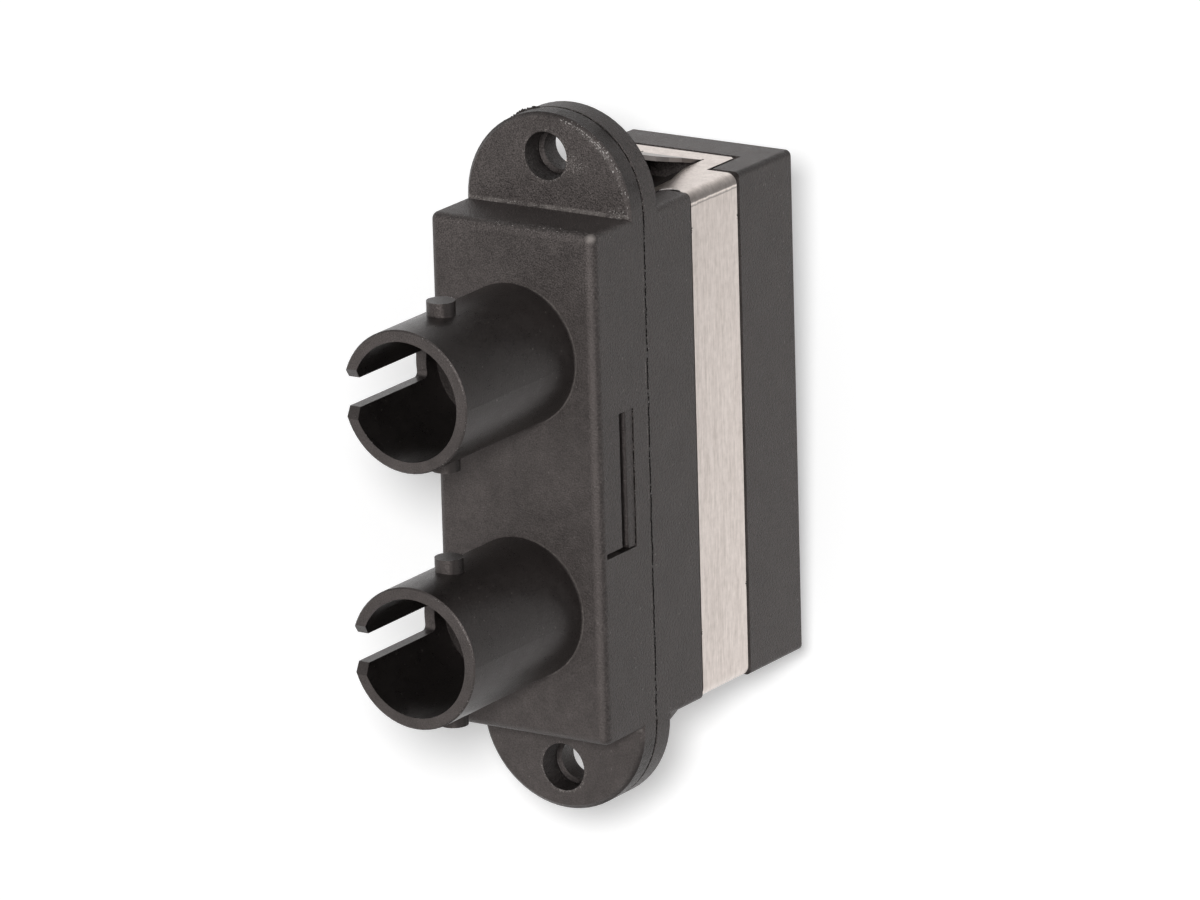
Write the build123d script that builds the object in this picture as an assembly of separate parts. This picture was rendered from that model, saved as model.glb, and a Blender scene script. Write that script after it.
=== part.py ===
from build123d import *
import math
import os

# Bulkhead fibre adapter, two channels one above the other. X is the width,
# Y the optical direction (round bayonet ports to -Y, square push-pull ports
# to +Y) and Z the long direction. The origin is halfway between the two
# screw holes, on the face of the flange that bears on the panel.

# Body and flange
port_pitch = 12.7
side_wall = 0.98
end_wall = 1.95
screw_offset = 2.6
ear_tip = 2.125
front_hole_d = 2.4
rear_hole_d = 2.0
hole_lead = 0.2
hole_lead_len = 0.15
front_flange_t = 1.25
rear_flange_t = 1.2
block_proud = 3.3
rear_len = 12.35
front_edge_r = 0.5
ear_edge = 0.2
ear_root = 0.14
seam_edge = 0.09
rear_edge = 0.12
long_edge_r = 0.3

# Round bayonet ports
barrel_len = 9.45
barrel_od = 7.05
barrel_inner_d = 5.9
barrel_depth = 7.2
barrel_tip = 0.07
lug_d = 1.4
lug_height = 0.66
lug_setback = 3.35
key_w = 1.45
key_len = 6.3
key_mouth_w = 2.45
key_mouth_len = 0.5
key_corner_r = 0.3

# Sleeve and its bore
sleeve_inner_d = 2.5
sleeve_wall = 0.35
sleeve_len = 11.4
sleeve_slit = 0.5
sleeve_play = 0.05
sleeve_end_play = 0.08
ferrule_hole_d = 3.0
ferrule_lead = 0.35
lip_t = 0.75

# Hollow behind the front block and the snap window in its sides
front_wall = 1.0
pocket_r = 0.5
tongue_t = 0.52
tongue_gap = 0.06
tongue_top_gap = 0.02
tongue_low_gap = 0.25
barb_low_gap = 0.08
bridge_t = 0.33
window_h = 6.95
window_back = 1.35
window_front = 0.55
barb_w = 0.74
groove_w = 0.42
groove_depth = 0.55
barb_r = 0.16

# Square ports
port_w = 7.4
port_h = 9.0
port_lead = 0.3
keyway_w = 2.4
keyway_len = 7.3

# Latch insert
seat_step = 0.35
plate_t = 1.2
plate_gap = 0.05
plate_side_gap = 0.1
rear_tube_od = 4.7
rear_tube_len = 4.9
front_tube_od = 5.2
front_tube_gap = 0.1
arm_w = 3.6
arm_t = 0.9
arm_len = 7.5
arm_gap = 0.35
hook_depth = 0.75
hook_len = 1.0
hook_ramp = 0.9
tube_rim = 0.25

# Spring clip and the recess that it lies in
sheet_t = 0.25
clip_y = 3.1
clip_w = 4.15
clip_sink = 0.02
clip_seat_gap = 0.01
clip_bend_r = 0.55
clip_leg = 3.6
recess_front_gap = 0.1
recess_rear_gap = 0.22
tail_w = 5.92
tail_len = 2.6
tail_corner = 0.2
tail_side_gap = 0.2
nose_w = 6.0
nose_len = 1.75
nose_corner = 0.3
nose_gap = 0.15
relief_w = 1.1
relief_len = 0.3
wing_root_w = 3.6
wing_tip_w = 5.1
wing_root_back = 0.95
wing_straight = 1.9
wing_len = 6.0
wing_corner = 0.6
wing_angle = 15.5
wing_cut = 0.1
nose_bar = 0.65
wing_pocket_w = 2.7
wing_pocket_depth = 0.9

# How far a cutter runs past the face that it opens
past = 1.0

# Sizes that follow from the ports
body_w = port_w + 2 * side_wall
body_h = port_pitch + port_h + 2 * end_wall
screw_pitch = body_h + 2 * screw_offset
flange_span = screw_pitch + 2 * ear_tip

# Planes across the optical direction
y_part = -rear_flange_t
y_ear = y_part - front_flange_t
y_face = y_ear - block_proud
y_tip = y_face - barrel_len
y_floor = y_tip + barrel_depth
y_pocket = y_face + front_wall
y_seat = y_part + plate_t + 2 * plate_gap
barrel_r = barrel_od / 2
bore_r = barrel_inner_d / 2
sleeve_od = sleeve_inner_d + 2 * sleeve_wall
sleeve_bore_d = sleeve_od + 2 * sleeve_play
y_lip = y_floor + lip_t
y_sleeve = y_lip + sleeve_end_play
y_sleeve_end = y_sleeve + sleeve_len
half_w = body_w / 2
half_h = body_h / 2
ports = (("upper", port_pitch / 2), ("lower", -port_pitch / 2))


def block(x0, x1, y0, y1, z0, z1):
    """Rectangular solid between two corners."""
    centre = ((x0 + x1) / 2, (y0 + y1) / 2, (z0 + z1) / 2)
    return Pos(*centre) * Box(x1 - x0, y1 - y0, z1 - z0)


def rod(d, y0, y1, z, x=0.0):
    """Cylinder along the optical direction."""
    place = Pos(x, (y0 + y1) / 2, z) * Rot(90, 0, 0)
    return place * Cylinder(d / 2, y1 - y0)


def cone(d0, d1, y0, y1, z):
    """Cone whose diameter is d0 at y0 and d1 at y1."""
    place = Pos(0, (y0 + y1) / 2, z) * Rot(-90, 0, 0)
    return place * Cone(d0 / 2, d1 / 2, y1 - y0)


def stadium(y0, y1):
    """Flange plate with half-round ends, as wide as the body."""
    sketch = SlotOverall(flange_span, body_w, rotation=90)
    return extrude(Plane.XZ.offset(-y1) * sketch, amount=y1 - y0)


def yz_prism(points, x0, x1):
    """Profile of (y, z) points carried from x0 to x1."""
    face = Plane.YZ.offset(x0) * make_face(Polyline(*points, close=True).edges())
    return extrude(face, amount=x1 - x0)


def xy_prism(points, z0, z1):
    """Profile of (x, y) points carried from z0 to z1."""
    face = Plane.XY.offset(z0) * make_face(Polyline(*points, close=True).edges())
    return extrude(face, amount=z1 - z0)


def edges_at(shape, y):
    """Edges that lie in the plane at y."""
    return [e for e in shape.edges() if abs(e.bounding_box().min.Y - y) < 1e-4
            and abs(e.bounding_box().max.Y - y) < 1e-4]


def front_housing():
    body = block(-half_w, half_w, y_face, y_part, -half_h, half_h)
    corners = body.edges().filter_by(Axis.Y)
    body = fillet(corners, long_edge_r)
    body = fillet(edges_at(body, y_face), front_edge_r)
    plate = stadium(y_ear, y_part)
    plate = chamfer(edges_at(plate, y_ear), ear_edge)
    plate = chamfer(edges_at(plate, y_part), seam_edge)
    body = body + plate
    flat_half = half_w - ear_edge - ear_root
    for sz in (-1, 1):
        root = [(y_ear, sz * (half_h + ear_root)), (y_ear - ear_root, sz * half_h),
                (y_ear - ear_root, sz * (half_h - ear_root)), (y_ear + ear_root, sz * (half_h - ear_root)),
                (y_ear + ear_root, sz * (half_h + ear_root))]
        body = body + yz_prism(root, -flat_half, flat_half)
    for side, z in ports:
        tube = rod(barrel_od, y_tip, y_face + front_wall / 2, z)
        body = body + tube
    for side, z in ports:
        tip = [e for e in edges_at(body, y_tip) if abs(e.center(CenterOf.BOUNDING_BOX).Z - z) < 0.1]
        body = chamfer(tip, barrel_tip)
    lug_reach = barrel_r + lug_height
    for side, z in ports:
        body = body + Pos(0, y_tip + lug_setback, z) * Cylinder(lug_d / 2, 2 * lug_reach)
    for side, z in ports:
        body = body - rod(barrel_inner_d, y_tip - past, y_floor, z)
        body = body - rod(ferrule_hole_d, y_floor - past, y_lip + past, z)
        body = body - cone(ferrule_hole_d + 2 * ferrule_lead, ferrule_hole_d, y_floor, y_floor + ferrule_lead, z)
        body = body - rod(sleeve_bore_d, y_lip, y_pocket + past, z)
        slot = yz_prism(
            [(y_tip - past, z + key_mouth_w / 2), (y_tip, z + key_mouth_w / 2),
             (y_tip + key_mouth_len, z + key_w / 2), (y_tip + key_len, z + key_w / 2),
             (y_tip + key_len, z - key_w / 2), (y_tip + key_mouth_len, z - key_w / 2),
             (y_tip, z - key_mouth_w / 2), (y_tip - past, z - key_mouth_w / 2)],
            -barrel_r - past, -bore_r / 2)
        end_edges = [e for e in slot.edges().filter_by(Axis.X)
                     if abs(e.center().Y - (y_tip + key_len)) < 1e-3]
        slot = fillet(end_edges, key_corner_r)
        body = body - slot
        pocket = block(-port_w / 2, port_w / 2, y_pocket, y_part + past,
                       z - port_h / 2, z + port_h / 2)
        pocket = fillet(pocket.edges().filter_by(Axis.Y), pocket_r)
        body = body - pocket
    for sx in (-1, 1):
        inner = port_w / 2
        outer = half_w - bridge_t
        x0, x1 = sorted((sx * inner, sx * outer))
        body = body - block(x0, x1, y_face + window_front, y_part + past,
                            -window_h / 2, window_h / 2)
        x0, x1 = sorted((sx * inner, sx * (half_w + past)))
        body = body - block(x0, x1, y_face + window_front, y_part - window_back,
                            -window_h / 2, window_h / 2)
    for sz in (-1, 1):
        body = body - rod(front_hole_d, y_ear - past, y_part + past, sz * screw_pitch / 2)
    return body


def snap_tongue(sx):
    """Tongue that runs forward under the bridge and fills the side window."""
    root = port_w / 2 + tongue_gap / 2
    skin = root + tongue_t
    top = half_w - 0.04
    head_front = y_face + window_front + tongue_gap
    head_back = y_part - window_back - tongue_gap
    groove_back = head_back - barb_w
    groove_front = groove_back - groove_w
    floor = top - groove_depth
    profile = [(root, y_part + rear_flange_t / 2), (root, head_front), (top, head_front),
               (top, groove_front), (floor, groove_front), (floor, groove_back),
               (top, groove_back), (top, head_back), (skin, head_back),
               (skin, y_part + rear_flange_t / 2)]
    tongue = xy_prism(profile, tongue_low_gap - window_h / 2, window_h / 2 - tongue_top_gap)
    lip = [e for e in tongue.edges().filter_by(Axis.Z)
           if abs(e.center().X - top) < 1e-3 and abs(e.center().Y - groove_back) < 1e-3]
    tongue = fillet(lip, barb_r)
    foot = block(skin, top, groove_back + barb_r, head_back,
                 barb_low_gap - window_h / 2, 2 * tongue_low_gap - window_h / 2)
    tongue = tongue + foot
    if sx < 0:
        tongue = mirror(tongue, about=Plane.YZ)
    return tongue


def rear_housing():
    body = block(-half_w, half_w, y_part, rear_len, -half_h, half_h)
    body = fillet(body.edges().filter_by(Axis.Y), long_edge_r)
    body = chamfer(edges_at(body, rear_len), rear_edge)
    plate = stadium(y_part, 0)
    body = body + chamfer(edges_at(plate, y_part), seam_edge)
    recess_depth = sheet_t + clip_sink + clip_seat_gap
    recess_y0 = clip_y - recess_front_gap
    recess_y1 = clip_y + clip_w + recess_rear_gap
    ring = block(-half_w - past, half_w + past, recess_y0, recess_y1,
                 -half_h - past, half_h + past)
    core = block(-half_w + recess_depth, half_w - recess_depth, recess_y0 - past, recess_y1 + past,
                 -half_h + recess_depth, half_h - recess_depth)
    core = fillet(core.edges().filter_by(Axis.Y), max(clip_bend_r - sheet_t, 0.05))
    body = body - (ring - core)
    tail_y1 = clip_y + clip_w + tail_len
    nose_y0 = clip_y - nose_len
    for sz in (-1, 1):
        z0, z1 = sorted((sz * (half_h - recess_depth), sz * (half_h + past)))
        half_tail = tail_w / 2 + tail_side_gap
        body = body - block(-half_tail, half_tail, recess_y1 - 0.1, tail_y1 + tail_side_gap, z0, z1)
        half_nose = nose_w / 2 + nose_gap
        body = body - block(-half_nose, half_nose, nose_y0 - nose_gap, recess_y0 + 0.1, z0, z1)
        deep = half_h - recess_depth - wing_pocket_depth
        z0, z1 = sorted((sz * deep, sz * (half_h + past)))
        body = body - block(-wing_pocket_w / 2, wing_pocket_w / 2, nose_y0 + nose_bar,
                            tail_y1 - wing_root_back, z0, z1)
    for side, z in ports:
        port = block(-port_w / 2, port_w / 2, y_part - past, rear_len + past,
                     z - port_h / 2, z + port_h / 2)
        body = body - port
        mouth = Pos(0, rear_len - port_lead, z) * Rot(-90, 0, 0) * loft([
            Rectangle(port_w, port_h),
            Pos(0, 0, port_lead) * Rectangle(port_w + 2 * port_lead, port_h + 2 * port_lead)])
        body = body - mouth
        seat = block(-port_w / 2, port_w / 2, y_part - past, y_seat,
                     z - port_h / 2 - seat_step, z + port_h / 2 + seat_step)
        body = body - seat
        body = body - block(-half_w - past, -port_w / 4, rear_len - keyway_len, rear_len + past,
                            z - keyway_w / 2, z + keyway_w / 2)
    for sz in (-1, 1):
        hole_z = sz * screw_pitch / 2
        body = body - rod(rear_hole_d, y_part - past, past, hole_z)
        body = body - cone(rear_hole_d + 2 * hole_lead, rear_hole_d, y_part, y_part + hole_lead_len, hole_z)
    for sx in (-1, 1):
        body = body + snap_tongue(sx)
    return body


def latch_insert(z):
    plate_half = port_h / 2 + seat_step - plate_side_gap
    plate_x = port_w / 2 - plate_side_gap
    y0 = y_part + plate_gap
    y1 = y0 + plate_t
    part = block(-plate_x, plate_x, y0, y1, z - plate_half, z + plate_half)
    front_end = y_pocket + front_tube_gap
    part = part + rod(front_tube_od, front_end, y0 + plate_t / 2, z)
    tube_end = max(y1 + rear_tube_len, y_sleeve_end + sleeve_end_play + lip_t)
    part = part + rod(rear_tube_od, y1 - plate_t / 2, tube_end, z)
    part = chamfer(edges_at(part, tube_end), tube_rim)
    for sz in (-1, 1):
        outer = port_h / 2 - arm_gap
        inner = outer - arm_t
        tip = y1 + arm_len
        profile = [(y1 - plate_t / 2, outer), (tip, outer), (tip, inner),
                   (tip - hook_ramp * 0.35, inner - hook_depth),
                   (tip - hook_len, inner - hook_depth), (tip - hook_len, inner),
                   (y1 - plate_t / 2, inner)]
        points = [(y, z + sz * v) for y, v in profile]
        arm = yz_prism(points, -arm_w / 2, arm_w / 2)
        part = part + arm
    part = part - rod(sleeve_bore_d, front_end - past, tube_end - lip_t, z)
    part = part - rod(ferrule_hole_d, tube_end - lip_t - past, tube_end + past, z)
    part = part - cone(ferrule_hole_d, ferrule_hole_d + 2 * ferrule_lead,
                       tube_end - ferrule_lead, tube_end, z)
    return part


def split_sleeve(z):
    tube = rod(sleeve_od, y_sleeve, y_sleeve_end, z) - rod(
        sleeve_inner_d, y_sleeve - past, y_sleeve_end + past, z)
    slit = block(0, sleeve_od, y_sleeve - past, y_sleeve_end + past, z - sleeve_slit / 2, z + sleeve_slit / 2)
    return tube - slit


def panel_clip():
    ox = half_w - clip_sink
    oz = half_h - clip_sink
    y0 = clip_y
    y1 = clip_y + clip_w
    outer = block(-ox, ox, y0, y1, -oz, oz)
    outer = fillet(outer.edges().filter_by(Axis.Y), clip_bend_r)
    inner = block(-ox + sheet_t, ox - sheet_t, y0 - past, y1 + past, -oz + sheet_t, oz - sheet_t)
    inner = fillet(inner.edges().filter_by(Axis.Y), clip_bend_r - sheet_t)
    band = outer - inner
    leg_z = oz - clip_leg
    band = band - block(-ox - past, -ox + clip_bend_r + sheet_t, y0 - past, y1 + past, -leg_z, leg_z)
    for sz in (-1, 1):
        low, high = sorted((sz * (oz - sheet_t), sz * oz))
        tail = block(-tail_w / 2, tail_w / 2, y1 - 0.5, y1 + tail_len, low, high)
        tail = chamfer([e for e in tail.edges().filter_by(Axis.Z) if e.center().Y > y1], tail_corner)
        nose = block(-nose_w / 2, nose_w / 2, y0 - nose_len, y0 + 0.5, low, high)
        nose = chamfer([e for e in nose.edges().filter_by(Axis.Z) if e.center().Y < y0], nose_corner)
        band = band + tail + nose
        for sx in (-1, 1):
            rx0, rx1 = sorted((sx * nose_w / 2, sx * (nose_w / 2 + relief_w)))
            notch = block(rx0, rx1, y0 - past, y0 + relief_len, low - 0.2, high + 0.2)
            inner_edges = [e for e in notch.edges().filter_by(Axis.Z) if e.center().Y > y0]
            notch = fillet(inner_edges, relief_w * 0.45)
            band = band - notch
        root_y = y1 + tail_len - wing_root_back
        straight_y = root_y - wing_straight
        front_y = y0 - nose_len + nose_bar
        mid_w = wing_root_w + (wing_tip_w - wing_root_w) * 0.8
        mid_y = straight_y - (straight_y - front_y) * 0.42
        outline = [(-wing_root_w / 2, root_y), (wing_root_w / 2, root_y),
                   (wing_root_w / 2, straight_y), (mid_w / 2, mid_y), (wing_tip_w / 2, front_y),
                   (-wing_tip_w / 2, front_y), (-mid_w / 2, mid_y), (-wing_root_w / 2, straight_y)]
        band = band - xy_prism(outline, low - 0.2, high + 0.2)
        tip_y = root_y - wing_len
        rise = wing_len * math.tan(math.radians(wing_angle))
        bottom = [(root_y + 0.3, oz - sheet_t), (root_y, oz - sheet_t), (tip_y, oz - sheet_t + rise),
                  (tip_y, oz + rise), (root_y - 0.15, oz), (root_y + 0.3, oz)]
        sheet = yz_prism([(y, sz * v) for y, v in bottom], -body_w / 2, body_w / 2)
        cut = wing_cut
        half_root = wing_root_w / 2 - cut
        half_mid = mid_w / 2 - cut
        half_tip = wing_tip_w / 2 - cut
        plan = [(-half_root, root_y + 0.6), (half_root, root_y + 0.6), (half_root, straight_y),
                (half_mid, mid_y), (half_tip, tip_y + wing_corner), (half_tip - wing_corner, tip_y),
                (wing_corner - half_tip, tip_y), (-half_tip, tip_y + wing_corner),
                (-half_mid, mid_y), (-half_root, straight_y)]
        reach = oz + rise + past
        low, high = sorted((0.0, sz * reach))
        wing = sheet & xy_prism(plan, low, high)
        band = band + wing
    return band


def save(shape, name):
    solids = shape.solids()
    result = solids[0] if len(solids) == 1 else Compound(children=list(solids))
    export_step(result, f"parts/{name}.step")
    print(name, len(solids), round(shape.volume, 3))


def main():
    os.makedirs("parts", exist_ok=True)
    save(front_housing(), "front_housing")
    save(rear_housing(), "rear_housing")
    save(panel_clip(), "panel_clip")
    for side, z in ports:
        save(latch_insert(z), f"sc_latch_insert_{side}")
        save(split_sleeve(z), f"split_sleeve_{side}")


main()
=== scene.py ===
import math
import random

import bpy
from mathutils import Matrix, Vector


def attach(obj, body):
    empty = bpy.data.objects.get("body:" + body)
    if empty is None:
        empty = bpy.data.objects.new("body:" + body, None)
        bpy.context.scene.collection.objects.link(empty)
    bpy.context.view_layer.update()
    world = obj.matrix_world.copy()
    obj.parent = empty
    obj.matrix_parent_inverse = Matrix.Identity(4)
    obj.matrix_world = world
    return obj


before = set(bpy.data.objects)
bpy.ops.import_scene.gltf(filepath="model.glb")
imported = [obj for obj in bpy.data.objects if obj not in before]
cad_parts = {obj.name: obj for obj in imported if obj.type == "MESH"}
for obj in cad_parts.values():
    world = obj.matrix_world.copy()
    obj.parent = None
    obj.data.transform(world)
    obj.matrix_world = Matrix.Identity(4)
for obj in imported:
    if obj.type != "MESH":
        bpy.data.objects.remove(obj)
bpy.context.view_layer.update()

# Places on the CAD model, in metres: X is the width, Y the optical direction, Z the long one
Y_TIP = -0.0152           # mouths of the round barrels
Y_SHADE_END = -0.00755    # how far the painted shade runs into the barrels
Y_FACE = -0.00575         # front face of the block
Y_EAR = -0.00245          # front face of the flange
Y_PART = -0.0012          # joint between the two housings
HALF_H = 0.0128           # half the height of the block
HALF_W = 0.00468          # half its width, and the radius of the ears
FACE_EDGE = 0.0005        # rounding of the block's front edges
EAR_CENTRE_Z = 0.012845
EAR_EDGE = 0.0002         # bevel of the ears
HOLE_Z = 0.0154
HOLE_RADIUS = 0.0012
PORT_Z = 0.00635
BARREL_RADIUS = 0.003525
MOUTH_OUTER = 0.00347     # ring of rubbed spots at the barrels' outer edge
MOUTH_INNER = 0.00297     # and the ring at their inner edge
LUG_Y = -0.01185
LUG_RADIUS = 0.00069
LUG_TOP = 0.004185        # height of a lug's top over the barrel's axis
BARB_Y = -0.00258         # gap between a snap barb and its bridge
BARB_X = 0.004648
GROOVE_Y = -0.00355       # groove in front of the barb
WINDOW_HALF = 0.0035      # half the height of a side window
CLIP_Y0 = 0.0031
CLIP_Y1 = 0.00725
CLIP_HALF_W = HALF_W - 0.00002
CLIP_HALF_H = HALF_H - 0.00002
CLIP_BEND = 0.00055       # outer radius of the clip's bends

# Painted shade in the joints, as dark lines: number of steps, width, and the chance of a break at each step
JOINT_STEPS = 2400
JOINT_WIDTH = 0.000088
JOINT_BREAKS = 0.04
BARB_STEPS = 220
BARB_GAP_LOW = -0.0034
BARB_GAP_HIGH = 0.00345
BARB_GAP_WIDTH = 0.00008
BARB_GAP_BREAKS = 0.03

# Numbers of flakes in each rubbed place
RIM_FLAKES = 300
STEP_FLAKES_UPPER = 170
STEP_FLAKES_LOWER = 30
CORNER_FLAKES = 60
HOLE_FLAKES = 60
SCUFF_FLAKES = 46
JOINT_FLAKES = 620
BARB_FLAKES = 36
EDGE_FLAKES = 190
LUG_FLAKES = 26
NICK_FLAKES = 9
# Scuff beside the upper screw hole
SCUFF_X = 0.0018
SCUFF_Z = 0.0151
# Painted highlight along the upper ear's front edge: first and last degree, place on the bevel, width, chance
# of a break
LIP_HIGHLIGHT_STEPS = 160
LIP_HIGHLIGHTS = ((38, 79, 0.8, 0.00005, 0.16), (14, 52, 0.45, 0.000035, 0.3))
# Rubbed parts of a barrel's mouth: first and last degree, radius, number of flakes
MOUTH_RUBS = ((5, 75, MOUTH_OUTER, 60), (285, 355, MOUTH_OUTER, 20), (205, 285, MOUTH_INNER, 55),
              (20, 60, MOUTH_INNER, 12))
# Mould flash: upper or lower ear, first and last degree, height
FLASH = ((1, 101, 131, 0.00017), (1, 44, 66, 0.00007), (1, 8, 22, 0.00004), (-1, 205, 232, 0.00006))
# Relief notch of the clip: where its burr starts in x, and its two arcs
NOTCH_X = 0.0030
NOTCH_Y = 0.002905
NOTCH_RADIUS = 0.000495
NOTCH_ARC_1_X = 0.003495
NOTCH_ARC_2_X = 0.003605
BURR_WIDTH = 0.000016
# Shear marks on the clip's long edges, as y and z
NICKS = ((CLIP_Y0, 0.01095), (CLIP_Y1, 0.0107), (CLIP_Y1, -0.0080), (CLIP_Y0, -0.00935))

PALE = (0.34, 0.31, 0.29, 1.0)            # rubbed plastic, also the painted highlights at the barrels' feet and the block's corner
BLACK = (0.002, 0.002, 0.002, 1.0)
HOUSING_COLOUR = (0.030, 0.0262, 0.025, 1.0)
INSERT_COLOUR = (0.024, 0.0215, 0.021, 1.0)
PLASTIC_SHEEN = (1.0, 0.88, 0.85, 1.0)
PLASTIC_IOR = 1.55
FLAKE_DARK = (0.12, 0.11, 0.105, 1.0)
FLAKE_PALE = (0.50, 0.47, 0.45, 1.0)
BURR_DARK = (0.62, 0.58, 0.55, 1.0)
BURR_PALE = (0.9, 0.87, 0.84, 1.0)
STEEL_DARK = (0.57, 0.505, 0.465, 1.0)
STEEL_PALE = (0.815, 0.735, 0.69, 1.0)
WING_SHADE = (0.16, 0.15, 0.145, 1.0)
SHEARED = (0.17, 0.155, 0.15, 1.0)
# Painted shade on the lower wing's sheared edges
LOWER_WING_SHADE = (0.05, 0.047, 0.045, 1.0)
STRIP_END = (0.20, 0.18, 0.17, 1.0)
CERAMIC_DARK = (0.80, 0.78, 0.72, 1.0)
CERAMIC_PALE = (0.88, 0.87, 0.83, 1.0)
GAP_DARK = (0.002, 0.0018, 0.0017, 1.0)
GAP_PALE = (0.009, 0.008, 0.0075, 1.0)
# Brightness of the painted reflections across the clip's upper bend, from its foot to its top
BEND_REFLECTION_TONES = ((0.0, 1.0), (0.05, 0.55), (0.10, 0.60), (0.15, 0.95), (0.22, 1.35), (0.27, 1.1), (0.32, 0.42),
              (0.50, 0.46), (0.74, 0.74), (1.0, 1.0))
BEND_FOOT = 0.00016

# Camera, from the fit to the photograph
AZIMUTH = math.radians(33.109)
ELEVATION = math.radians(16.223)
ROLL = math.radians(-1.601)
FOCAL_PX = 10605.8
DISTANCE = 0.5149
SHIFT_RIGHT = 0.000872
SHIFT_UP = 0.000062
FRAME_PX = 1200.0
SENSOR = 36.0             # width in millimetres

# Ground and light
GROUND_BACK = 0.0161      # how far the paper stands behind the object's centre
GROUND_SIZE = 0.6
GROUND_LIFT = 0.27        # glow of the paper for the camera and in reflections
PAPER = (0.9, 0.9, 0.9, 1.0)
LIT_WIDE = 0.064
LIT_HIGH = 0.054
DARK_FROM = 0.45          # squared share of the lit ellipse at which the dark studio starts
DARK_TO = 1.65
DARK_STUDIO = (0.07, 0.07, 0.07, 1.0)
KEY_UP = 0.05
KEY_LEFT = 0.055
KEY_DISTANCE = 0.60
KEY_SIZE = 0.084
KEY_POWER = 2.06
WORLD_LEVEL = 0.45

dice = random.Random(11)


class Nodes:
    """Short way to fill a node tree."""

    def __init__(self, tree):
        self.tree = tree
        tree.nodes.clear()

    def add(self, kind, **settings):
        node = self.tree.nodes.new(kind)
        for key, value in settings.items():
            setattr(node, key, value)
        return node

    def link(self, source, target):
        """Joins an output to an input, or gives the input a plain value."""
        if isinstance(source, (int, float, tuple)):
            target.default_value = source
        else:
            self.tree.links.new(source, target)

    def math(self, op, a, b=0.0, c=0.0):
        node = self.add("ShaderNodeMath", operation=op)
        self.link(a, node.inputs[0])
        self.link(b, node.inputs[1])
        self.link(c, node.inputs[2])
        return node.outputs[0]

    def step(self, value, low, high):
        """0 at low, 1 at high, clamped; low may be above high."""
        node = self.add("ShaderNodeMapRange", clamp=True)
        self.link(value, node.inputs["Value"])
        self.link(low, node.inputs["From Min"])
        self.link(high, node.inputs["From Max"])
        return node.outputs["Result"]

    def mix_shader(self, factor, first, second):
        node = self.add("ShaderNodeMixShader")
        self.link(factor, node.inputs[0])
        self.link(first, node.inputs[1])
        self.link(second, node.inputs[2])
        return node.outputs[0]

    def seen_or_reflected(self, path):
        """1 for rays from the camera, off shiny surfaces and through clear ones."""
        seen = self.math("MAXIMUM", path.outputs["Is Camera Ray"], path.outputs["Is Transmission Ray"])
        return self.math("MAXIMUM", seen, path.outputs["Is Glossy Ray"])


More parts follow.
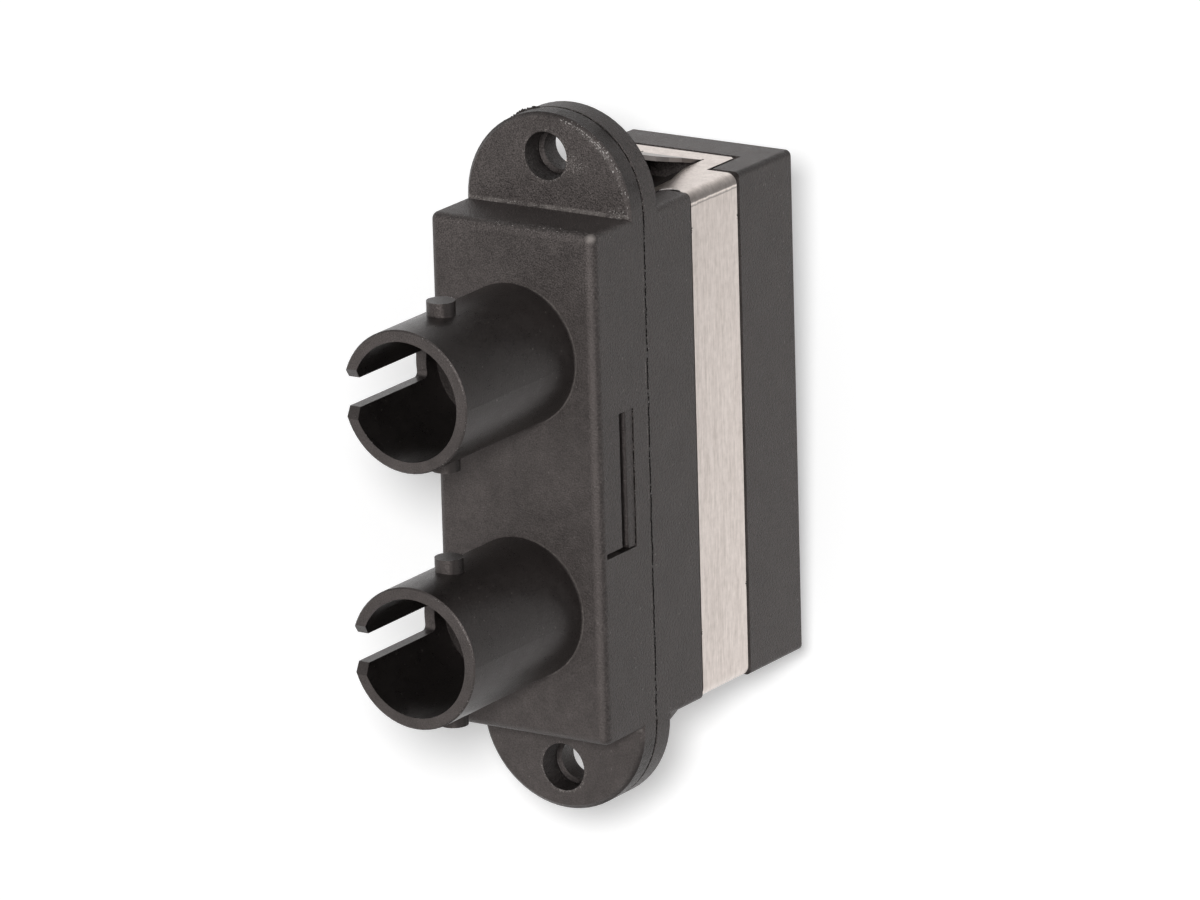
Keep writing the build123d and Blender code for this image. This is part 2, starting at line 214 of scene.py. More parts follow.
class Graph(Nodes):
    """A new material with one shader; x, y, z give the place and ny, nz the facing on the object."""

    def __init__(self, name):
        self.material = bpy.data.materials.new(name)
        self.material.use_nodes = True
        super().__init__(self.material.node_tree)
        out = self.add("ShaderNodeOutputMaterial")
        self.shader = self.add("ShaderNodeBsdfPrincipled")
        self.link(self.shader.outputs["BSDF"], out.inputs["Surface"])
        coord = self.add("ShaderNodeTexCoord")
        self.place = coord.outputs["Object"]
        split = self.add("ShaderNodeSeparateXYZ")
        self.link(self.place, split.inputs[0])
        self.x, self.y, self.z = split.outputs
        facing = self.add("ShaderNodeSeparateXYZ")
        self.link(coord.outputs["Normal"], facing.inputs[0])
        _, self.ny, self.nz = facing.outputs

    def set(self, name, value):
        """Value or output for one of the shader's own inputs."""
        self.link(value, self.shader.inputs[name])

    def absolute(self, value):
        return self.math("ABSOLUTE", value)

    def inverse(self, mask):
        return self.math("SUBTRACT", 1.0, mask)

    def add_share(self, value, amount, base):
        """The base plus amount times the value."""
        return self.math("MULTIPLY_ADD", value, amount, base)

    def band(self, value, centre, half, soft):
        """1 within half of centre, fading to 0 over soft."""
        away = self.absolute(self.math("SUBTRACT", value, centre))
        return self.step(away, half + soft, half)

    def both(self, *values):
        result = values[0]
        for value in values[1:]:
            result = self.math("MULTIPLY", result, value)
        return result

    def either(self, *values):
        result = values[0]
        for value in values[1:]:
            result = self.math("MAXIMUM", result, value)
        return result

    def length(self, a, b):
        return self.math("SQRT", self.math("ADD", self.math("MULTIPLY", a, a), self.math("MULTIPLY", b, b)))

    def spot(self, x, y, z, radius):
        """1 at a point, fading to 0 at the radius."""
        dx = self.math("SUBTRACT", self.x, x)
        dy = self.math("SUBTRACT", self.y, y)
        dz = self.math("SUBTRACT", self.z, z)
        away = self.length(self.length(dx, dy), dz)
        return self.step(away, radius, radius * 0.35)

    def noise(self, scale, detail=2.0, rough=0.5, vector=None):
        node = self.add("ShaderNodeTexNoise")
        self.link(vector if vector else self.place, node.inputs["Vector"])
        self.link(scale, node.inputs["Scale"])
        self.link(detail, node.inputs["Detail"])
        self.link(rough, node.inputs["Roughness"])
        return node.outputs["Fac"]

    def streaks(self, scales, detail, rough):
        """Noise with a scale of its own along each axis."""
        node = self.add("ShaderNodeMapping")
        self.link(self.place, node.inputs["Vector"])
        self.link(scales, node.inputs["Scale"])
        return self.noise(1.0, detail, rough, vector=node.outputs[0])

    def mix(self, factor, a, b):
        node = self.add("ShaderNodeMix", data_type="RGBA")
        self.link(factor, node.inputs[0])
        self.link(a, node.inputs[6])
        self.link(b, node.inputs[7])
        return node.outputs[2]

    def times(self, colour, factor):
        node = self.add("ShaderNodeVectorMath", operation="MULTIPLY")
        self.link(colour[:3] if isinstance(colour, tuple) else colour, node.inputs[0])
        self.link(factor, node.inputs[1])
        return node.outputs[0]

    def tint(self, base, mask, amount, colour):
        """Mixes in a colour by the amount where the mask is 1."""
        return self.mix(self.math("MULTIPLY", mask, amount), base, colour)

    def scale(self, base, mask, amount):
        """Multiplies by 1 + amount where the mask is 1."""
        return self.times(base, self.add_share(mask, amount, 1.0))

    def bump(self, height, distance, strength):
        node = self.add("ShaderNodeBump")
        self.link(height, node.inputs["Height"])
        self.link(distance, node.inputs["Distance"])
        self.link(strength, node.inputs["Strength"])
        self.set("Normal", node.outputs[0])


class Marks:
    """Distances on the object that the plastic's wear and shade follow."""

    def __init__(self, g):
        self.high = g.absolute(g.z)
        self.wide = g.absolute(g.x)
        self.port = g.length(g.x, g.math("SUBTRACT", self.high, PORT_Z))
        self.hole = g.length(g.x, g.math("SUBTRACT", self.high, HOLE_Z))
        self.ear = g.length(g.x, g.math("SUBTRACT", self.high, EAR_CENTRE_Z))


def moulded_plastic(name, colour, worn_and_shaded):
    """Charcoal plastic: grainy block, smoother barrels, painted shade in the bores and on the lug flanks, and
    a painted sheen on the rear block's top and underside.
    """
    g = Graph(name)
    marks = Marks(g)
    fine = g.noise(15000.0, 2.0, 0.6)
    grain = g.noise(8500.0, 3.0, 0.65)
    blotch = g.noise(430.0, 3.0, 0.55)
    cloud = g.noise(1500.0, 2.0, 0.5)
    on_barrel = g.step(g.y, Y_FACE - 0.00004, Y_FACE - 0.00010)
    frontal = g.step(g.ny, -0.6, -0.85)
    smooth = g.both(on_barrel, g.inverse(frontal))
    base = g.times(colour, g.add_share(g.math("ADD", blotch, cloud), 0.75, 0.25))
    # Fine specks, strongest at the upper end
    speck = g.math("SUBTRACT", g.step(fine, 0.32, 0.68), 0.5)
    base = g.scale(base, speck, g.add_share(g.step(g.z, 0.0080, 0.0125), 0.9, 0.85))
    # Pits on the block's sides
    flat_side = g.both(g.inverse(frontal), g.inverse(on_barrel))
    pits = g.math("MULTIPLY", flat_side, g.math("SUBTRACT", g.step(grain, 0.38, 0.62), 0.5))
    base = g.scale(base, pits, 1.3)
    base = g.scale(base, frontal, 1.0)
    base = g.scale(base, smooth, -0.62)
    dust = g.step(g.noise(5200.0, 1.0, 0.4), 0.745, 0.79)
    base = g.tint(base, dust, 0.22, PALE)
    # Painted sheen: the rear block's top and underside are painted paler, as where light glances off them
    painted_top_sheen = g.both(g.step(g.absolute(g.nz), 0.85, 0.95), g.step(g.y, 0.001, 0.002))
    base = g.scale(base, painted_top_sheen, 0.42)
    # Shade on the lug flanks, on the rear block's upper and lower side edges and in the bores
    flank_shade = g.both(smooth, g.step(marks.port, BARREL_RADIUS + 0.000075, BARREL_RADIUS + 0.000135),
                   g.step(g.absolute(g.nz), 0.75, 0.55))
    base = g.scale(base, flank_shade, -0.75)
    arris_shade = g.both(g.step(marks.high, HALF_H - 0.00030, HALF_H - 0.00014),
                   g.step(g.y, CLIP_Y1, CLIP_Y1 + 0.0002),
                   g.step(marks.wide, HALF_W - 0.00030, HALF_W - 0.00014))
    base = g.scale(base, arris_shade, -0.85)
    bore_shade = g.both(g.step(marks.port, MOUTH_INNER - 0.00001, MOUTH_INNER - 0.00005),
                  g.step(g.y, Y_SHADE_END + 0.0001, Y_SHADE_END - 0.0001))
    base = g.scale(base, bore_shade, -0.5)
    if worn_and_shaded:
        base = wear_shade_and_highlights(g, marks, base)
    g.set("Base Color", base)
    g.set("IOR", PLASTIC_IOR)
    g.set("Specular Tint", PLASTIC_SHEEN)
    rough = g.add_share(cloud, 0.16, 0.39)
    rough = g.add_share(speck, 0.16, rough)
    rough = g.add_share(pits, 0.14, rough)
    rough = g.add_share(smooth, -0.12, rough)
    g.set("Roughness", rough)
    depth = g.add_share(smooth, -1.3, g.add_share(frontal, -0.5, 1.6))
    height = g.math("MULTIPLY", g.math("ADD", grain, g.math("MULTIPLY", fine, 0.6)), depth)
    g.bump(height, 0.00008, 0.5)
    return g.material


def wear_shade_and_highlights(g, marks, base):
    """Adds the joint line, the rubbed edges, painted shade on the ears' sides, beside the barbs and in the
    screw holes, and painted highlights at the barrels' feet and a corner of the block.
    """
    crumbs = g.step(g.noise(13000.0, 2.0, 0.6), 0.54, 0.62)
    broken = g.step(g.noise(1300.0, 3.0, 0.6), 0.44, 0.58)
    ragged = g.step(g.noise(2600.0, 4.0, 0.7), 0.36, 0.52)
    wander = g.math("MULTIPLY", g.math("SUBTRACT", g.noise(1100.0, 3.0), 0.5), 0.00014)
    seam_y = g.math("ADD", g.y, wander)
    seam = g.both(g.band(seam_y, Y_PART, 0.00005, 0.00004), ragged)
    base = g.tint(base, seam, 0.9, BLACK)
    beside = g.both(g.band(seam_y, Y_PART - 0.00016, 0.00003, 0.00005), crumbs, broken)
    base = g.tint(base, beside, 0.5, PALE)
    # The upper ear's rim, rubbed most at its upper right
    near_front = g.step(g.y, Y_EAR + 0.0003, Y_EAR + 0.0002)
    rim = g.both(g.band(marks.ear, HALF_W - 0.00022, 0.00010, 0.00012), near_front,
                 g.spot(0.0034, Y_EAR, 0.0162, 0.0022),
                 g.either(crumbs, g.math("MULTIPLY", broken, 0.35)))
    base = g.tint(base, rim, 0.22, PALE)
    # Painted shade on the front ears' rounded sides, broken by streaks along the draw of the mould
    draw = g.streaks((1500.0, 260.0, 1500.0), 3.0, 0.6)
    side = g.both(g.step(marks.ear, HALF_W - 0.00016, HALF_W - 0.00006), g.step(marks.high, 0.0131, 0.0136),
                  g.step(g.y, Y_PART, Y_PART - 0.0001))
    base = g.mix(side, base, g.times(base, g.step(draw, 0.34, 0.80)))
    # The step between block and ear, the rims of the screw holes and the scuff beside the upper one
    ledge = g.both(g.band(marks.high, HALF_H + 0.00009, 0.00006, 0.00005),
                   g.band(g.y, Y_EAR - 0.00005, 0.00012, 0.00004),
                   g.either(crumbs, g.math("MULTIPLY", broken, 0.5)))
    base = g.tint(base, ledge, 0.45, PALE)
    lip = g.both(g.band(marks.hole, HOLE_RADIUS + 0.00007, 0.00004, 0.00006), near_front, crumbs, broken)
    base = g.tint(base, lip, 0.7, PALE)
    scuff = g.both(g.spot(0.0016, Y_EAR, SCUFF_Z, 0.0008), crumbs, near_front)
    base = g.tint(base, scuff, 0.5, PALE)
    # Painted highlight: a thin pale line round the right side of each barrel's foot
    foot = g.both(g.band(marks.port, BARREL_RADIUS + 0.000035, 0.00002, 0.00003),
                  g.band(g.y, Y_FACE, 0.00003, 0.00003), g.step(g.x, 0.0002, 0.0014),
                  g.add_share(broken, 0.5, 0.5))
    base = g.tint(base, foot, 0.2, PALE)
    # Painted highlight at the top right corner of the block
    corner_highlight = g.spot(0.00445, -0.00555, 0.01257, 0.00030)
    base = g.tint(base, corner_highlight, 0.5, PALE)
    # Painted shade in the groove beside each snap barb, fading across the barb beside it
    in_window = g.step(marks.high, WINDOW_HALF + 0.00002, WINDOW_HALF - 0.00002)
    groove_shade = g.both(g.band(g.y, GROOVE_Y, 0.00024, 0.00002), in_window,
                    g.band(marks.wide, 0.0043, 0.00034, 0.00002))
    barb_shade = g.both(g.step(g.y, GROOVE_Y + 0.00055, GROOVE_Y + 0.00021),
                  g.step(g.y, GROOVE_Y - 0.00030, GROOVE_Y - 0.00023), in_window,
                  g.step(marks.wide, 0.0040, 0.0041))
    base = g.scale(base, g.either(groove_shade, g.math("MULTIPLY", barb_shade, 0.85)), -0.9)
    # Painted shade on the walls of the screw holes too
    well_shade = g.both(g.step(marks.hole, HOLE_RADIUS + 0.00002, HOLE_RADIUS), g.step(marks.high, 0.0135, 0.0136))
    return g.scale(base, well_shade, -0.5)


def brushed_sheet(name):
    """Stainless strip brushed along its length, with painted reflections across the upper bends and on the
    raised wings, darker sheared edges and painted shade on the lower wing's.
    """
    g = Graph(name)
    wide = g.absolute(g.x)
    level = g.step(g.absolute(g.nz), 0.85, 0.93)
    streak = g.streaks((7000.0, 8000.0, 1000.0), 4.0, 0.65)
    broad = g.streaks((1500.0, 2200.0, 180.0), 2.0, 0.5)
    mottle = g.noise(2600.0, 3.0, 0.65)
    tone = g.math("ADD", g.math("MULTIPLY", streak, 0.5), g.math("MULTIPLY", broad, 0.25))
    tone = g.math("ADD", tone, g.math("MULTIPLY", mottle, 0.25))
    base = g.mix(g.step(tone, 0.36, 0.64), STEEL_DARK, STEEL_PALE)
    # Painted reflections across each upper bend: bright and dark bands along its foot, darker metal above
    # them
    over_side = g.math("SUBTRACT", g.absolute(g.z), CLIP_HALF_H - CLIP_BEND)
    in_bend = g.both(g.step(g.z, 0.0, 0.001), g.step(over_side, -BEND_FOOT - 0.00001, -BEND_FOOT),
                     g.step(wide, CLIP_HALF_W - CLIP_BEND, CLIP_HALF_W - CLIP_BEND + 0.00005))
    ramp = g.add("ShaderNodeValToRGB")
    while len(ramp.color_ramp.elements) < len(BEND_REFLECTION_TONES):
        ramp.color_ramp.elements.new(0.5)
    for element, (at, shade) in zip(ramp.color_ramp.elements, BEND_REFLECTION_TONES):
        element.position = at
        element.color = (shade, shade, shade, 1.0)
    uneven = g.add_share(g.math("SUBTRACT", mottle, 0.5), 0.00012, over_side)
    g.link(g.step(uneven, -BEND_FOOT, CLIP_BEND), ramp.inputs["Fac"])
    base = g.mix(in_bend, base, g.times(base, ramp.outputs["Color"]))
    # Painted reflection: the raised wings are darkened, as where they mirror the dark block behind them
    wing_reflection = g.both(g.step(g.ny, 0.15, 0.22), level, g.step(g.y, 0.0086, 0.0079))
    base = g.tint(base, wing_reflection, 0.72, WING_SHADE)
    # Sheared edges of the wings and their windows are darker; those of the lower wing carry painted shade
    sheared = g.both(g.step(g.absolute(g.nz), 0.60, 0.40),
                     g.step(wide, CLIP_HALF_W - CLIP_BEND - 0.00001, CLIP_HALF_W - CLIP_BEND - 0.00007))
    base = g.tint(base, sheared, 0.9, SHEARED)
    below = g.both(sheared, g.step(g.z, 0.0, -0.001), g.step(g.y, 0.0070, 0.0055))
    base = g.tint(base, below, 0.85, LOWER_WING_SHADE)
    ends = g.step(g.absolute(g.ny), 0.85, 0.95)
    base = g.tint(base, ends, 0.5, STRIP_END)
    g.set("Base Color", base)
    g.set("Metallic", 1.0)
    g.set("Roughness", g.add_share(streak, 0.16, 0.28))
    g.bump(tone, 0.00003, 0.4)
    return g.material


def ceramic(name):
    """Fine ground zirconia with faint rings along its length."""
    g = Graph(name)
    g.set("Base Color", g.mix(g.noise(900.0, 2.0, 0.5), CERAMIC_DARK, CERAMIC_PALE))
    g.set("Roughness", 0.22)
    g.bump(g.streaks((300.0, 9000.0, 300.0), 2.0, 0.5), 0.000004, 0.4)
    return g.material


def gap_black(name):
    """Deep shade in an open joint: no gloss, a little unevenness."""
    g = Graph(name)
    g.set("Base Color", g.mix(g.noise(4000.0, 2.0), GAP_DARK, GAP_PALE))
    g.set("Roughness", 0.95)
    g.set("Specular IOR Level", 0.0)
    return g.material


def scuffed(name, low, high, rough):
    """Stress-whitened or torn material of the crumbs and burrs, also of the painted highlight on the upper
    ear.
    """
    g = Graph(name)
    g.set("Base Color", g.mix(g.step(g.noise(9000.0, 2.0), 0.35, 0.65), low, high))
    g.set("Roughness", g.add_share(g.noise(20000.0, 1.0), 0.3, rough))
    return g.material


def ray(turn):
    """Unit vector at an angle from X towards Z."""
    return Vector((math.cos(turn), 0, math.sin(turn)))


def flake_size(spread, least):
    """Random size, never below the least one."""
    return abs(dice.gauss(0, spread)) + least


class Wear:
    """Points and faces of one added piece."""

    def __init__(self):
        self.points = []
        self.faces = []

    def crumb(self, centre, normal, size):
        """Irregular flake lying on a surface."""
        n = normal.normalized()
        side = n.orthogonal().normalized()
        turn = dice.uniform(0, 2 * math.pi)
        a = side * math.cos(turn) + n.cross(side) * math.sin(turn)
        b = n.cross(a)
        first = len(self.points)
        self.points.extend([
            centre + a * size * dice.uniform(0.6, 1.3), centre + b * size * dice.uniform(0.4, 0.9),
            centre - a * size * dice.uniform(0.6, 1.3), centre - b * size * dice.uniform(0.4, 0.9),
            centre + n * size * dice.uniform(0.25, 0.6), centre - n * size * 0.3])
        top, bottom = first + 4, first + 5
        for i in range(4):
            here, following = first + i, first + (i + 1) % 4
            self.faces.append((here, following, top))
            self.faces.append((following, here, bottom))

    def strip(self, path, across, width, breaks):
        """Strip along the path whose two edges wander; breaks is the chance of a gap at each point."""
        gap = 0
        last = None
        drift = 0.0
        for centre, aside in zip(path, across):
            if gap > 0:
                gap -= 1
                last = None
                continue
            if dice.random() < breaks:
                gap = dice.randint(1, 3)
                last = None
                continue
            drift = 0.8 * drift + dice.uniform(-0.25, 0.25) * width
            half = width * dice.uniform(0.28, 0.62)
            first = len(self.points)
            self.points.append(centre + aside * (drift + half))
            self.points.append(centre + aside * (drift - half))
            if last is not None:
                self.faces.append((last, last + 1, first + 1, first))
            last = first

    def piece(self, name, material):
        """Makes it an object that belongs to the part."""
        mesh = bpy.data.meshes.new(name)
        mesh.from_pydata([tuple(v) for v in self.points], [], self.faces)
        mesh.materials.append(material)
        obj = bpy.data.objects.new(name, mesh)
        bpy.context.scene.collection.objects.link(obj)
        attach(obj, "root")


def outline_point(share):
    """Point at a share of the way round the flange, its outward normal, and whether it is on an ear."""
    straight = 2 * EAR_CENTRE_Z
    arc = math.pi * HALF_W
    d = (share % 1.0) * 2 * (straight + arc)
    if d < straight:
        return Vector((HALF_W, 0, -EAR_CENTRE_Z + d)), Vector((1, 0, 0)), False
    d -= straight
    if d < arc:
        n = ray(d / HALF_W)
        return Vector((0, 0, EAR_CENTRE_Z)) + n * HALF_W, n, True
    d -= arc
    if d < straight:
        return Vector((-HALF_W, 0, EAR_CENTRE_Z - d)), Vector((-1, 0, 0)), False
    turn = (d - straight) / HALF_W
    n = Vector((-math.cos(turn), 0, -math.sin(turn)))
    return Vector((0, 0, -EAR_CENTRE_Z)) + n * HALF_W, n, True


def joint_shadows():
    """Painted shade: dark broken strips where the two housings meet and beside the snap barbs."""
    wear = Wear()
    y_axis = Vector((0, 1, 0))
    path = []
    for i in range(JOINT_STEPS + 1):
        at, normal, on_ear = outline_point(i / JOINT_STEPS)
        at = at + normal * (-0.00003 if on_ear else 0.000007)
        path.append(at + y_axis * Y_PART)
    wear.strip(path, [y_axis] * len(path), JOINT_WIDTH, JOINT_BREAKS)
    tall = BARB_GAP_HIGH - BARB_GAP_LOW
    for side in (-1, 1):
        path = [Vector((side * BARB_X, BARB_Y, BARB_GAP_LOW + tall * i / BARB_STEPS))
                for i in range(BARB_STEPS + 1)]
        wear.strip(path, [y_axis] * len(path), BARB_GAP_WIDTH, BARB_GAP_BREAKS)
    wear.piece("joint_shadows", gap_black("joint_painted_shade"))


def rub_ear_rim(wear, front):
    """Crumbs on the bevel of the upper ear and just inside it."""
    for _ in range(RIM_FLAKES):
        turn = math.radians(dice.triangular(8, 78, 48))
        out = dice.uniform(0, 1)
        radius = HALF_W - EAR_EDGE * (1 - out) - dice.uniform(0, 0.00003)
        n = ray(turn)
        at = Vector((0, 0, EAR_CENTRE_Z)) + n * radius
        at.y = Y_EAR + EAR_EDGE * out
        if dice.random() < 0.45:
            at = Vector((0, Y_EAR, EAR_CENTRE_Z)) + n * (HALF_W - EAR_EDGE - abs(dice.gauss(0, 0.00006)))
        wear.crumb(at, front + n, flake_size(0.000022, 0.000007))


def rub_flange(wear, front, sign, on_step, on_corner):
    """Crumbs on the step between block and ear, at its right end and round the screw hole."""
    for _ in range(on_step):
        x = dice.uniform(-0.0042, 0.0043)
        share = dice.uniform(0, 1)
        at = Vector((x, Y_EAR - 0.00014 * share, sign * (HALF_H + 0.00014 * (1 - share))))
        wear.crumb(at, front + Vector((0, 0, sign)), flake_size(0.000014, 0.000007))
    for _ in range(on_corner):
        at = Vector((dice.gauss(0.0042, 0.0003), Y_EAR, sign * (HALF_H + abs(dice.gauss(0.0001, 0.0002)))))
        at.x = min(at.x, 0.0046)
        wear.crumb(at, front, flake_size(0.000018, 0.000008))
    for _ in range(HOLE_FLAKES):
        n = ray(math.radians(dice.gauss(262, 34)))
        at = Vector((0, Y_EAR, sign * HOLE_Z)) + n * (HOLE_RADIUS + 0.00001 + abs(dice.gauss(0, 0.00003)))
        wear.crumb(at, front, flake_size(0.000013, 0.000007))


def rub_joints(wear):
    """Crumbs along the joint of the housings and beside the snap barbs."""
    for _ in range(JOINT_FLAKES):
        at, normal, _on_ear = outline_point(dice.random())
        at.y = Y_PART + dice.gauss(0, 0.00007)
        wear.crumb(at, normal, flake_size(0.000012, 0.000006))
    for side in (-1, 1):
        for _ in range(BARB_FLAKES):
            y = BARB_Y + dice.gauss(0.00002, 0.00003)
            at = Vector((side * 0.00466, y, dice.uniform(-0.0036, 0.0035)))
            wear.crumb(at, Vector((side, 0, 0)), flake_size(0.000012, 0.000007))


def rub_block_edge(wear):
    """Specks along the rounded top edge of the block."""
    for _ in range(EDGE_FLAKES):
        tilt = math.radians(dice.uniform(15, 80))
        n = Vector((0, -math.cos(tilt), math.sin(tilt)))
        at = Vector((dice.uniform(-0.0043, 0.0042), Y_FACE + FACE_EDGE, HALF_H - FACE_EDGE)) + n * FACE_EDGE
        wear.crumb(at, n, flake_size(0.00001, 0.000007))


def paint_lip_highlight(wear):
    """Painted highlight: a pale strip along the upper right of the upper ear's front edge."""
    for low, high, inset, width, breaks in LIP_HIGHLIGHTS:
        path, across = [], []
        for i in range(LIP_HIGHLIGHT_STEPS + 1):
            n = ray(math.radians(low + (high - low) * i / LIP_HIGHLIGHT_STEPS))
            at = Vector((0, 0, EAR_CENTRE_Z)) + n * (HALF_W - EAR_EDGE * inset + 0.000006)
            path.append(at + Vector((0, Y_EAR + EAR_EDGE * (1 - inset) - 0.000006, 0)))
            across.append((n + Vector((0, 1, 0))).normalized())
        wear.strip(path, across, width, breaks)


def rub_barrel(wear, front, sign):
    """Crumbs on the mouth of a barrel and on the top of its upper lug."""
    axis = Vector((0, Y_TIP, sign * PORT_Z))
    for low, high, radius, count in MOUTH_RUBS:
        for _ in range(count):
            n = ray(math.radians(dice.uniform(low, high)))
            at = axis + n * (radius + dice.gauss(0, 0.000012)) + Vector((0, 0.00001, 0))
            wear.crumb(at, front, flake_size(0.000013, 0.00001))
    for _ in range(LUG_FLAKES):
        turn = dice.uniform(0, 2 * math.pi)
        x, y = math.cos(turn) * LUG_RADIUS, LUG_Y + math.sin(turn) * LUG_RADIUS
        at = Vector((x, y, sign * PORT_Z + LUG_TOP))
        wear.crumb(at, Vector((0, 0, 1)), flake_size(0.000012, 0.000009))


def wear_flakes_and_highlight():
    """Pale crumbs on ears, holes, joints, block edge, barrel mouths and lugs, and the painted highlight along
    the upper ear's edge.
    """
    wear = Wear()
    front = Vector((0, -1, 0))
    rub_ear_rim(wear, front)
    rub_flange(wear, front, 1, STEP_FLAKES_UPPER, CORNER_FLAKES)
    rub_flange(wear, front, -1, STEP_FLAKES_LOWER, 0)
    for _ in range(SCUFF_FLAKES):
        at = Vector((dice.gauss(SCUFF_X, 0.00028), Y_EAR, dice.gauss(SCUFF_Z, 0.00016)))
        wear.crumb(at, front, flake_size(0.000014, 0.000007))
    rub_joints(wear)
    rub_block_edge(wear)
    paint_lip_highlight(wear)
    rub_barrel(wear, front, 1)
    rub_barrel(wear, front, -1)
    pale = scuffed("scuffed_pbt_and_highlight", FLAKE_DARK, FLAKE_PALE, 0.3)
    wear.piece("wear_flakes_and_highlight", pale)


def moulding_flash(plastic):
    """Thin torn fins that the mould's parting line left on the ears."""
    wear = Wear()
    for sign, low, high, tall in FLASH:
        steps = int((high - low) * 4)
        rise = 0.0
        last = None
        for i in range(steps + 1):
            n = ray(math.radians(low + (high - low) * i / steps))
            ends = math.sin(math.pi * i / steps) ** 0.6
            rise = 0.6 * rise + 0.4 * dice.uniform(0.3, 1.3) * tall * ends
            foot = Vector((0, 0, sign * EAR_CENTRE_Z)) + n * (HALF_W - 0.00008)
            top = foot + n * (0.00006 + rise)
            lean = dice.uniform(-0.00004, 0.00001)
            first = len(wear.points)
            for at, y in ((foot, -0.000035), (top, -0.00001 + lean), (top, 0.00001 + lean), (foot, 0.000035)):
                wear.points.append(Vector((at.x, Y_PART + y, at.z)))
            if last is not None:
                for j in range(3):
                    wear.faces.append((last + j, last + j + 1, first + j + 1, first + j))
            last = first
    wear.piece("moulding_flash", plastic)


def clip_burrs():
    """Bright burr that the punch left along the relief notches of the clip."""
    wear = Wear()
    route = [(NOTCH_X, 0.00215), (NOTCH_X, 0.0026)]
    for i in range(15):
        turn = math.pi / 2 * i / 14
        route.append((NOTCH_ARC_1_X - NOTCH_RADIUS * math.cos(turn), NOTCH_Y + NOTCH_RADIUS * math.sin(turn)))
    for i in range(13):
        turn = math.radians(66) * i / 12
        route.append((NOTCH_ARC_2_X + NOTCH_RADIUS * math.sin(turn), NOTCH_Y + NOTCH_RADIUS * math.cos(turn)))
    for sx in (-1, 1):
        for sz in (-1, 1):
            last = None
            for i, (x, y) in enumerate(route):
                w = BURR_WIDTH * dice.uniform(0.7, 1.3)
                if i >= len(route) - 2:
                    w *= 2.2
                first = len(wear.points)
                for dy, dz in ((-w, -w), (-w, w), (w, w * 0.7), (w, -w)):
                    wear.points.append(Vector((sx * x, y + dy, sz * (CLIP_HALF_H + dz))))
                if last is not None:
                    for j in range(4):
                        k = (j + 1) % 4
                        wear.faces.append((last + j, last + k, first + k, first + j))
                last = first
    bright = scuffed("burr_steel", BURR_DARK, BURR_PALE, 0.15)
    wear.piece("clip_burrs", bright)


def clip_nicks():
    """Shear marks on the long edges of the strip."""
    wear = Wear()
    for y, z in NICKS:
        for _ in range(NICK_FLAKES):
            at = Vector((CLIP_HALF_W, y + dice.gauss(0, 0.00003), z + dice.gauss(0, 0.00009)))
            wear.crumb(at, Vector((1, 0, 0)), dice.uniform(0.000025, 0.00005))
    wear.piece("clip_nicks", gap_black("nick_black"))


housing = moulded_plastic("housing_pbt", HOUSING_COLOUR, worn_and_shaded=True)
insert = moulded_plastic("insert_pbt", INSERT_COLOUR, worn_and_shaded=False)
steel = brushed_sheet("clip_stainless")
zirconia = ceramic("sleeve_zirconia")
NODE_MATERIALS = {
    "front_housing": housing, "rear_housing": housing, "panel_clip": steel,
    "sc_latch_insert_upper": insert, "sc_latch_insert_lower": insert,
    "split_sleeve_upper": zirconia, "split_sleeve_lower": zirconia,
}
for node, material in NODE_MATERIALS.items():
    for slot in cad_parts[node].material_slots:
        slot.material = material

joint_shadows()
wear_flakes_and_highlight()
moulding_flash(housing)
clip_burrs()
clip_nicks()

# Camera
toward = Vector((math.sin(AZIMUTH) * math.cos(ELEVATION), -math.cos(AZIMUTH) * math.cos(ELEVATION),
                 math.sin(ELEVATION)))
level_right = Vector((math.cos(AZIMUTH), math.sin(AZIMUTH), 0.0))
level_up = toward.cross(level_right)
right = level_right * math.cos(ROLL) + level_up * math.sin(ROLL)
up = level_up * math.cos(ROLL) - level_right * math.sin(ROLL)
stand = toward * DISTANCE + right * SHIFT_RIGHT + up * SHIFT_UP
lens = bpy.data.cameras.new("camera")
lens.sensor_fit = "HORIZONTAL"
lens.sensor_width = SENSOR
lens.lens = FOCAL_PX * SENSOR / FRAME_PX
lens.clip_start = 0.01
lens.clip_end = 5.0
camera = bpy.data.objects.new("camera", lens)
camera.matrix_world = Matrix((
    (right.x, up.x, toward.x, stand.x),
    (right.y, up.y, toward.y, stand.y),
    (right.z, up.z, toward.z, stand.z),
    (0, 0, 0, 1)))
bpy.context.scene.collection.objects.link(camera)
bpy.context.scene.camera = camera


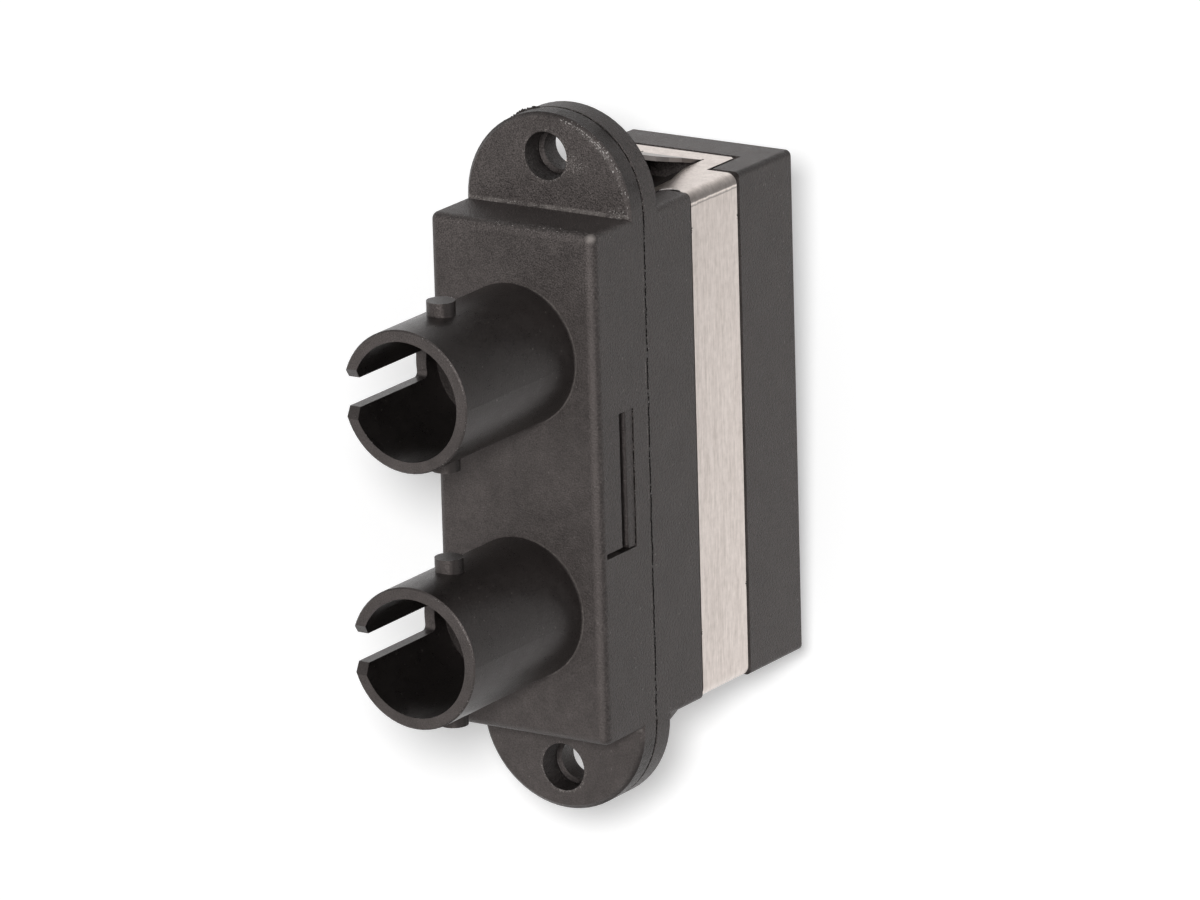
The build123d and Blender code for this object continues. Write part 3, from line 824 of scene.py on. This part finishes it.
def ground_material():
    """White paper, clear from behind; past its lit part, reflections find the dark studio."""
    material = bpy.data.materials.new("pale_ground")
    material.use_nodes = True
    g = Nodes(material.node_tree)
    path = g.add("ShaderNodeLightPath")
    paper = g.add("ShaderNodeBsdfDiffuse")
    g.link(PAPER, paper.inputs["Color"])
    glow = g.add("ShaderNodeEmission")
    g.link(g.math("MULTIPLY", g.seen_or_reflected(path), GROUND_LIFT), glow.inputs["Strength"])
    bright = g.add("ShaderNodeAddShader")
    g.link(paper.outputs[0], bright.inputs[0])
    g.link(glow.outputs[0], bright.inputs[1])
    place = g.add("ShaderNodeTexCoord").outputs["Object"]
    reach = []
    for axis, span in ((right, LIT_WIDE), (up, LIT_HIGH)):
        along = g.add("ShaderNodeVectorMath", operation="DOT_PRODUCT")
        g.link(place, along.inputs[0])
        g.link(tuple(axis / span), along.inputs[1])
        reach.append(g.math("POWER", along.outputs["Value"], 2.0))
    past = g.step(g.math("ADD", reach[0], reach[1]), DARK_FROM, DARK_TO)
    dark = g.add("ShaderNodeBsdfDiffuse")
    g.link(DARK_STUDIO, dark.inputs["Color"])
    mirrored = g.math("MULTIPLY", past, path.outputs["Is Glossy Ray"])
    lit = g.mix_shader(mirrored, bright.outputs[0], dark.outputs[0])
    clear = g.add("ShaderNodeBsdfTransparent")
    face = g.add("ShaderNodeNewGeometry")
    sides = g.mix_shader(face.outputs["Backfacing"], lit, clear.outputs[0])
    g.link(sides, g.add("ShaderNodeOutputMaterial").inputs["Surface"])
    return material


# Paper square to the view, touching the object behind
mesh = bpy.data.meshes.new("ground")
centre = -toward * GROUND_BACK
corners = [centre + right * sx * GROUND_SIZE + up * sy * GROUND_SIZE
           for sx, sy in ((-1, -1), (1, -1), (1, 1), (-1, 1))]
mesh.from_pydata([tuple(c) for c in corners], [], [(0, 1, 2, 3)])
ground = bpy.data.objects.new("ground", mesh)
bpy.context.scene.collection.objects.link(ground)
mesh.materials.append(ground_material())

# One soft lamp near the camera's direction, a little up and to the left
light = bpy.data.lights.new("key", "AREA")
light.shape = "DISK"
light.size = KEY_SIZE
light.energy = KEY_POWER
key = bpy.data.objects.new("key", light)
direction = (toward + up * KEY_UP - right * KEY_LEFT).normalized()
key.location = direction * KEY_DISTANCE
key.rotation_euler = direction.to_track_quat("Z", "Y").to_euler()
bpy.context.scene.collection.objects.link(key)

# Even surroundings, full for the camera and in reflections, dimmer as light
world = bpy.data.worlds.new("world")
bpy.context.scene.world = world
world.use_nodes = True
sky = Nodes(world.node_tree)
background = sky.add("ShaderNodeBackground")
seen = sky.seen_or_reflected(sky.add("ShaderNodeLightPath"))
sky.link(sky.math("MULTIPLY_ADD", seen, 1.0 - WORLD_LEVEL, WORLD_LEVEL), background.inputs["Strength"])
sky.link(background.outputs[0], sky.add("ShaderNodeOutputWorld").inputs["Surface"])

bpy.context.scene.view_settings.view_transform = "Standard"
